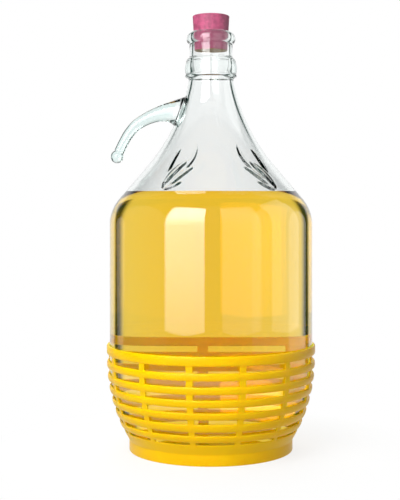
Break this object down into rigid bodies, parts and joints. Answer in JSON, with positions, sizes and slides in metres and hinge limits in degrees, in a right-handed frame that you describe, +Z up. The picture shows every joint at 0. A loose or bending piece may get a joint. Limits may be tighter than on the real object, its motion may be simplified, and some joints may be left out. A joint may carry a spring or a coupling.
{
  "type": "glass demijohn in basket",
  "caption": "Clear glass demijohn of wine with a hook handle, standing in a slotted plastic basket and closed with a tapered rubber stopper",
  "frame": {"origin": "centre of the basket's foot, on the surface it stands on", "axes": "+Z up along the bottle's axis, the hook handle points along -X, -Y is the front"},
  "size_m": [0.1786, 0.1786, 0.3713],
  "materials": {
    "basket_plastic": "satin",
    "bottle_glass": "gloss",
    "wine": "gloss",
    "stopper_rubber": "matte"
  },
  "bodies": {
    "basket": {"basket": "basket_plastic"},
    "bottle": {"bottle": "bottle_glass", "handle": "bottle_glass", "wine": "wine"},
    "stopper": {"stopper": "stopper_rubber"}
  },
  "joints": [
    {"name": "bottle_lift", "type": "slide", "parent": "basket", "child": "bottle", "axis": [0, 0, 1], "range_m": [0, 0.1]},
    {"name": "stopper_pull", "type": "slide", "parent": "bottle", "child": "stopper", "axis": [0, 0, 1], "range_m": [0, 0.04]}
  ]
}
